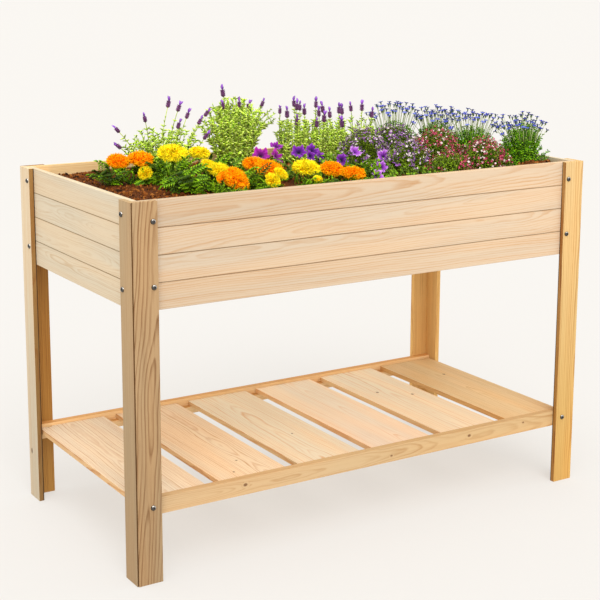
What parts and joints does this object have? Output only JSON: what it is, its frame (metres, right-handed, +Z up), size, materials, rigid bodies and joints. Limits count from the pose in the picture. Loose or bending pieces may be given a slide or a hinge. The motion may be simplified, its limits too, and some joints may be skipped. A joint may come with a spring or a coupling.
{
  "type": "raised planter",
  "caption": "Raised rectangular wooden planter box on L-shaped corner legs, with a slatted storage shelf below, filled with soil and flowering plants.",
  "frame": {"origin": "centre of the footprint, on the ground under the feet", "axes": "+X along the length of the box, +Y to the back, +Z up"},
  "size_m": [1.2172, 0.6192, 0.98],
  "materials": {
    "leg_face_wood": "matte",
    "leg_side_wood": "matte",
    "long_wall_wood": "matte",
    "end_wall_wood": "matte",
    "inner_wood": "matte",
    "floor_wood": "matte",
    "rail_wood": "matte",
    "shelf_wood": "matte",
    "zinc_bolt": "polished",
    "brass_insert": "satin",
    "liner_fabric": "matte",
    "potting_soil": "matte",
    "lavender": "matte",
    "marigold": "matte",
    "petunia": "matte",
    "pink_flower": "matte",
    "blue_flower": "matte"
  },
  "bodies": {
    "root": {"leg_front_left_face": "leg_face_wood", "leg_front_left_side": "leg_side_wood", "leg_front_right_face": "leg_face_wood", "leg_front_right_side": "leg_side_wood", "leg_back_left_face": "leg_face_wood", "leg_back_left_side": "leg_side_wood", "leg_back_right_face": "leg_face_wood", "leg_back_right_side": "leg_side_wood", "front_board_1": "long_wall_wood", "front_board_2": "long_wall_wood", "front_board_3": "long_wall_wood", "front_board_4": "long_wall_wood", "back_board_1": "long_wall_wood", "back_board_2": "long_wall_wood", "back_board_3": "long_wall_wood", "back_board_4": "long_wall_wood", "left_board_1": "end_wall_wood", "left_board_2": "end_wall_wood", "left_board_3": "end_wall_wood", "left_board_4": "end_wall_wood", "right_board_1": "end_wall_wood", "right_board_2": "end_wall_wood", "right_board_3": "end_wall_wood", "right_board_4": "end_wall_wood", "post_front_left": "inner_wood", "post_front_right": "inner_wood", "post_back_left": "inner_wood", "post_back_right": "inner_wood", "batten_front": "inner_wood", "floor_cleat_front": "inner_wood", "batten_back": "inner_wood", "floor_cleat_back": "inner_wood", "floor_slat_1": "floor_wood", "floor_slat_2": "floor_wood", "floor_slat_3": "floor_wood", "floor_slat_4": "floor_wood", "floor_slat_5": "floor_wood", "floor_slat_6": "floor_wood", "liner": "liner_fabric", "soil": "potting_soil", "shelf_rail_front": "rail_wood", "shelf_cleat_front": "inner_wood", "shelf_rail_back": "rail_wood", "shelf_cleat_back": "inner_wood", "shelf_slat_1": "shelf_wood", "shelf_slat_2": "shelf_wood", "shelf_slat_3": "shelf_wood", "shelf_slat_4": "shelf_wood", "shelf_slat_5": "shelf_wood", "shelf_slat_6": "shelf_wood", "box_bolts": "zinc_bolt", "box_inserts": "brass_insert", "shelf_bolts": "zinc_bolt", "shelf_nuts": "zinc_bolt", "lavender_plants": "lavender", "marigold_plants": "marigold", "petunia_plants": "petunia", "pink_flower_plants": "pink_flower", "blue_flower_plants": "blue_flower"}
  },
  "joints": []
}
